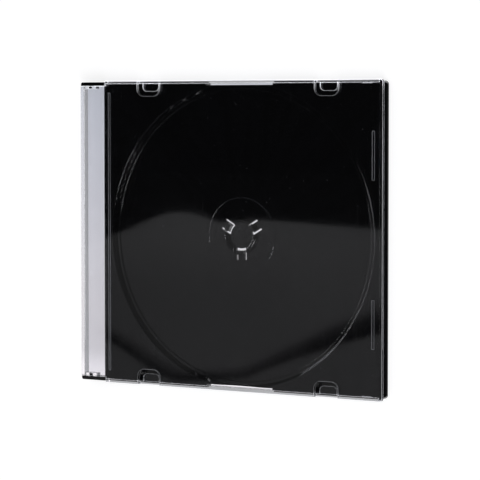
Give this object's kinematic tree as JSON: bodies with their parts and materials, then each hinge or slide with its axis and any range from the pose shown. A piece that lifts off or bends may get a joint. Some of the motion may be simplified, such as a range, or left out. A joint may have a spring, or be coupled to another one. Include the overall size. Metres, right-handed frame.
{
  "type": "slim disc case",
  "caption": "Slim disc case, closed: clear hinged lid with half-moon booklet tabs in its windows, over a glossy black tray with a recessed disc seat and a spring-fingered hub.",
  "frame": {"origin": "middle of the back face, on the surface the case lies on", "axes": "+X across the width from the hinge to the opening edge, +Y up the cover, +Z out of the front of the lid"},
  "size_m": [0.142, 0.125, 0.0052],
  "materials": {
    "black_polystyrene": "polished black polystyrene",
    "clear_polystyrene": "polished clear polystyrene"
  },
  "bodies": {
    "base": {"base": "black_polystyrene"},
    "lid": {"lid": "clear_polystyrene"}
  },
  "joints": [
    {"name": "lid_hinge", "type": "hinge", "parent": "base", "child": "lid", "pos_m": [-0.06705, 0, 0.0026], "axis": [0, -1, 0], "range_deg": [0, 180]}
  ]
}
